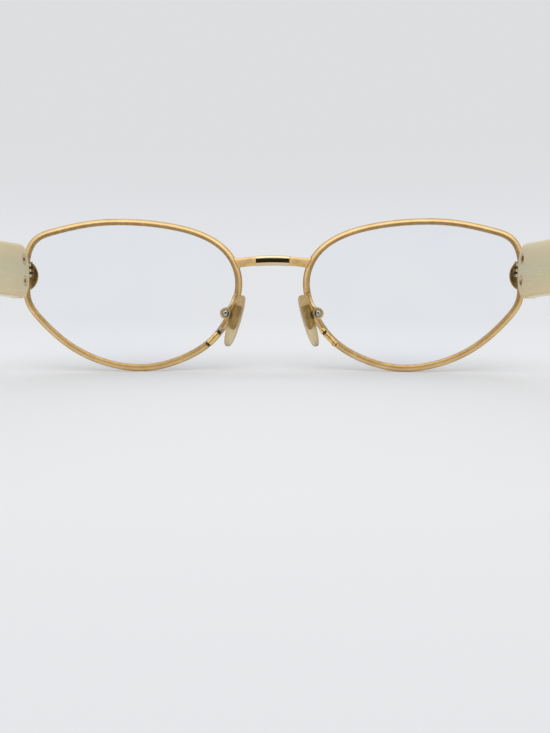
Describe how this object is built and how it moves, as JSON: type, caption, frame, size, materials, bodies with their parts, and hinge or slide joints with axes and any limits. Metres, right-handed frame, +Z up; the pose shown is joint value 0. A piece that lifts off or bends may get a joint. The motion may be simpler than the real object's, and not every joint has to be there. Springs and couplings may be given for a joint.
{
  "type": "spectacles",
  "caption": "Wire-rimmed spectacles with wide folding temples, clear lenses, rocking nose pads and round corner discs.",
  "frame": {"origin": "centre of the bounding box's base, on the table that the spectacles stand on", "axes": "+X to the wearer's left, across the front; +Y back along the temples; +Z up"},
  "size_m": [0.1408, 0.1302, 0.04],
  "materials": {
    "satin_gold": "gold-plated wire, brushed to a satin",
    "polished_gold": "gold-plated, polished bright",
    "dark_gold": "dark patinated back, gold border",
    "steel": "pale plated steel screws and wires",
    "ivory": "cream acetate, softly polished",
    "clear_lens": "clear, polished",
    "pad": "translucent, yellowed with age"
  },
  "bodies": {
    "front": {"bridge": "satin_gold", "left_rim": "satin_gold", "left_lens": "clear_lens", "left_rim_lock_lower": "polished_gold", "left_rim_lock_upper": "polished_gold", "left_rim_lock_screw": "steel", "left_pad_arm": "satin_gold", "left_pad_box": "satin_gold", "left_pad_screw": "steel", "left_endpiece": "satin_gold", "left_corner_disc": "dark_gold", "left_front_hinge_leaf": "satin_gold", "left_hinge_screw": "steel", "right_rim": "satin_gold", "right_lens": "clear_lens", "right_rim_lock_lower": "polished_gold", "right_rim_lock_upper": "polished_gold", "right_rim_lock_screw": "steel", "right_pad_arm": "satin_gold", "right_pad_box": "satin_gold", "right_pad_screw": "steel", "right_endpiece": "satin_gold", "right_corner_disc": "dark_gold", "right_front_hinge_leaf": "satin_gold", "right_hinge_screw": "steel"},
    "left_temple_body": {"left_temple": "ivory", "left_temple_core": "steel", "left_temple_hinge_leaf": "satin_gold", "left_rivet_upper": "satin_gold", "left_rivet_lower": "satin_gold"},
    "left_pad_body": {"left_nose_pad": "pad", "left_pad_core": "steel"},
    "right_temple_body": {"right_temple": "ivory", "right_temple_core": "steel", "right_temple_hinge_leaf": "satin_gold", "right_rivet_upper": "satin_gold", "right_rivet_lower": "satin_gold"},
    "right_pad_body": {"right_nose_pad": "pad", "right_pad_core": "steel"}
  },
  "joints": [
    {"name": "left_temple_hinge", "type": "hinge", "parent": "front", "child": "left_temple_body", "pos_m": [0.06214, -0.05522, 0.02633], "axis": [0, 0, 1], "range_deg": [0, 90]},
    {"name": "right_temple_hinge", "type": "hinge", "parent": "front", "child": "right_temple_body", "pos_m": [-0.06214, -0.05522, 0.02633], "axis": [0, 0, -1], "range_deg": [0, 78]},
    {"name": "left_pad_pivot", "type": "hinge", "parent": "front", "child": "left_pad_body", "pos_m": [0.01158, -0.0527, 0.01559], "axis": [0, 1, 0], "range_deg": [-12, 12]},
    {"name": "right_pad_pivot", "type": "hinge", "parent": "front", "child": "right_pad_body", "pos_m": [-0.01158, -0.0527, 0.01559], "axis": [0, 1, 0], "range_deg": [-12, 12]}
  ]
}
